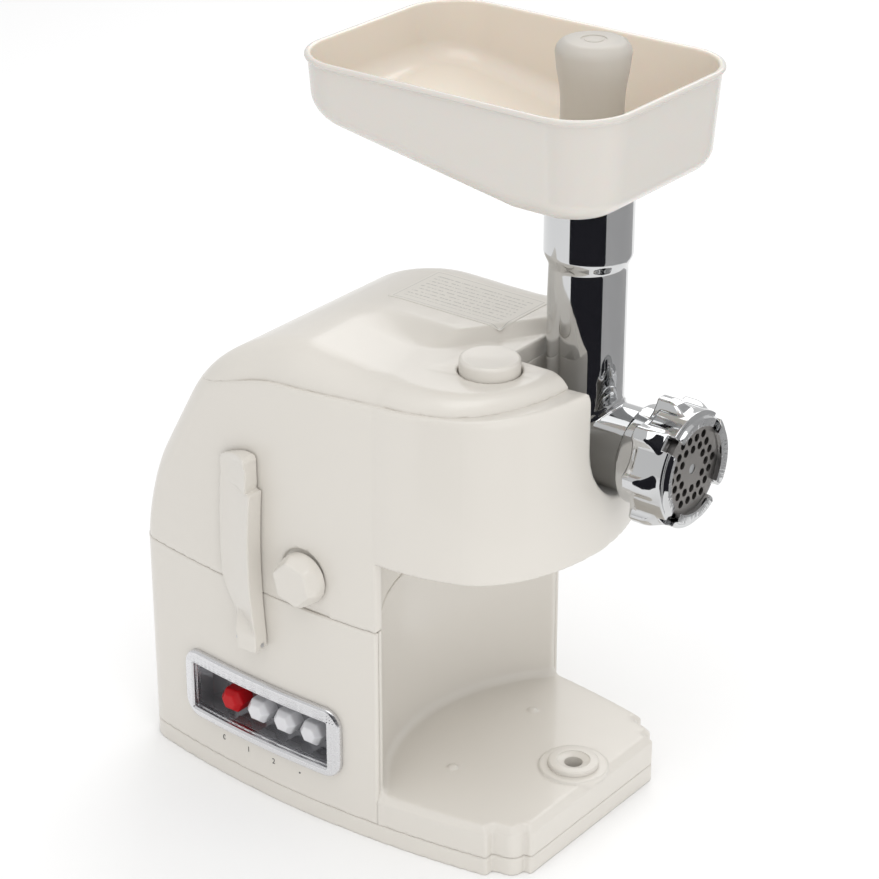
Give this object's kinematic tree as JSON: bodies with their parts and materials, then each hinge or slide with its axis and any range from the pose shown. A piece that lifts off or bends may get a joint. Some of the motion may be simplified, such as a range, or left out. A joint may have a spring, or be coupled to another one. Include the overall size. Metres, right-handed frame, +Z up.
{
  "type": "electric meat grinder",
  "caption": "Tilting-head kitchen machine with a meat grinder, feed tray and pusher fitted to its nose.",
  "frame": {"origin": "on the table, under the middle of the body", "axes": "+X towards the grinder's outlet, -Y towards the control panel, +Z up"},
  "size_m": [0.3325, 0.2159, 0.4766],
  "materials": {
    "cream_plastic": "satin-gloss moulded plastic",
    "white_plastic": "glossy moulded plastic",
    "red_plastic": "glossy moulded plastic",
    "milky_plastic": "satin translucent plastic",
    "dark_plastic": "matt moulded plastic",
    "smoked_plastic": "dark polished plastic",
    "black_rubber": "matt rubber",
    "label_film": "blank printed film",
    "satin_silver": "satin silver plating with fine ribs",
    "zinc_steel": "zinc-plated pressed steel",
    "machined_steel": "turned steel",
    "laminated_steel": "stacked steel laminations",
    "plate_steel": "ground carbon steel",
    "polished_chrome": "polished plating",
    "cast_aluminium": "cast and tumbled",
    "copper_wire": "enamelled copper",
    "brass_parts": "turned bronze and brass",
    "nylon": "moulded nylon"
  },
  "bodies": {
    "base": {"base_plate": "cream_plastic", "rubber_feet": "black_rubber", "base_screws": "zinc_steel", "bay_floor": "cream_plastic", "bay_wall": "cream_plastic", "column_shell": "cream_plastic", "bowl_pivot": "cream_plastic", "hinge_bracket": "zinc_steel", "cable_gland": "black_rubber", "control_bezel": "satin_silver", "key_well": "smoked_plastic", "switch_block": "dark_plastic", "circuit_breaker": "dark_plastic"},
    "off_key": {"off_key": "red_plastic"},
    "speed_1_key": {"speed_1_key": "white_plastic"},
    "speed_2_key": {"speed_2_key": "white_plastic"},
    "pulse_key": {"pulse_key": "white_plastic"},
    "lever": {"lock_lever": "cream_plastic", "lever_pin": "zinc_steel"},
    "head": {"head_shell": "cream_plastic", "head_bay_wall": "cream_plastic", "nose_floor": "cream_plastic", "top_cover": "cream_plastic", "label_panel": "label_film", "head_chassis": "zinc_steel", "hinge_pin": "zinc_steel", "eject_spring": "zinc_steel", "motor_frame": "zinc_steel", "motor_stator": "laminated_steel", "stator_coils": "copper_wire", "brush_holders": "brass_parts", "shaft_bushes": "brass_parts", "gear_frame": "zinc_steel", "frame_screws": "zinc_steel", "worm_bracket": "zinc_steel", "idler_axle": "machined_steel", "output_bush": "brass_parts"},
    "knob": {"release_knob": "cream_plastic", "latch_cam": "zinc_steel"},
    "button": {"eject_button": "cream_plastic"},
    "rotor": {"armature": "laminated_steel", "commutator": "copper_wire", "drive_shaft": "machined_steel", "cooling_fan": "dark_plastic"},
    "idler": {"idler_gear": "nylon"},
    "output": {"output_gear": "nylon", "output_shaft": "machined_steel"},
    "near_spindle": {"near_beater_spindle": "nylon"},
    "far_spindle": {"far_beater_spindle": "nylon"},
    "grinder": {"grinder_body": "polished_chrome", "cutting_plate": "plate_steel"},
    "screw": {"auger": "cast_aluminium", "knife": "machined_steel"},
    "nut": {"ring_nut": "polished_chrome"},
    "tray": {"feed_tray": "cream_plastic"},
    "pusher": {"pusher": "milky_plastic"}
  },
  "joints": [
    {"name": "head_tilt", "type": "hinge", "parent": "base", "child": "head", "pos_m": [-0.1295, 0, 0.156], "axis": [0, -1, 0], "range_deg": [0, 22]},
    {"name": "lever_swing", "type": "hinge", "parent": "base", "child": "lever", "pos_m": [-0.037, -0.0993, 0.11], "axis": [1, 0, 0], "range_deg": [0, 35]},
    {"name": "knob_turn", "type": "hinge", "parent": "head", "child": "knob", "pos_m": [0.0015, -0.0945, 0.164], "axis": [0, -1, 0], "range_deg": [0, 90]},
    {"name": "button_press", "type": "slide", "parent": "head", "child": "button", "axis": [0, 0, -1], "range_m": [0, 0.0025], "stiffness_N_per_m": 900, "springref_m": -0.002, "deforming": ["eject_spring"]},
    {"name": "off_key_press", "type": "slide", "parent": "base", "child": "off_key", "axis": [0, 1, 0], "range_m": [0, 0.004], "stiffness_N_per_m": 500, "springref_m": -0.001},
    {"name": "speed_1_key_press", "type": "slide", "parent": "base", "child": "speed_1_key", "axis": [0, 1, 0], "range_m": [0, 0.004], "stiffness_N_per_m": 500, "springref_m": -0.001},
    {"name": "speed_2_key_press", "type": "slide", "parent": "base", "child": "speed_2_key", "axis": [0, 1, 0], "range_m": [0, 0.004], "stiffness_N_per_m": 500, "springref_m": -0.001},
    {"name": "pulse_key_press", "type": "slide", "parent": "base", "child": "pulse_key", "axis": [0, 1, 0], "range_m": [0, 0.004], "stiffness_N_per_m": 500, "springref_m": -0.001},
    {"name": "rotor_spin", "type": "hinge", "parent": "head", "child": "rotor", "pos_m": [0, -0.0326, 0.215], "axis": [1, 0, 0], "continuous": true},
    {"name": "idler_spin", "type": "hinge", "parent": "head", "child": "idler", "pos_m": [0, -0.00663, 0.22547], "axis": [1, 0, 0], "continuous": true},
    {"name": "output_spin", "type": "hinge", "parent": "head", "child": "output", "pos_m": [0, 0.0294, 0.24], "axis": [1, 0, 0], "continuous": true},
    {"name": "near_spindle_spin", "type": "hinge", "parent": "head", "child": "near_spindle", "pos_m": [0.0875, -0.0466, 0.2], "axis": [0, 0, 1], "continuous": true},
    {"name": "far_spindle_spin", "type": "hinge", "parent": "head", "child": "far_spindle", "pos_m": [0.0875, -0.0186, 0.2], "axis": [0, 0, 1], "continuous": true},
    {"name": "grinder_pull", "type": "slide", "parent": "head", "child": "grinder", "axis": [1, 0, 0], "range_m": [0, 0.06]},
    {"name": "screw_spin", "type": "hinge", "parent": "grinder", "child": "screw", "pos_m": [0.15, 0.0294, 0.24], "axis": [1, 0, 0], "continuous": true},
    {"name": "nut_turn", "type": "hinge", "parent": "grinder", "child": "nut", "pos_m": [0.175, 0.0294, 0.24], "axis": [1, 0, 0], "range_deg": [0, 720]},
    {"name": "tray_lift", "type": "slide", "parent": "grinder", "child": "tray", "axis": [0, 0, 1], "range_m": [0, 0.05]},
    {"name": "pusher_lift", "type": "slide", "parent": "grinder", "child": "pusher", "axis": [0, 0, 1], "range_m": [0, 0.2]}
  ],
  "couplings": [
    {"joint": "idler_spin", "follows": "rotor_spin", "ratio": -0.14286},
    {"joint": "output_spin", "follows": "rotor_spin", "ratio": 0.02381},
    {"joint": "screw_spin", "follows": "rotor_spin", "ratio": 0.02381},
    {"joint": "near_spindle_spin", "follows": "rotor_spin", "ratio": -0.055556},
    {"joint": "far_spindle_spin", "follows": "rotor_spin", "ratio": 0.055556}
  ]
}
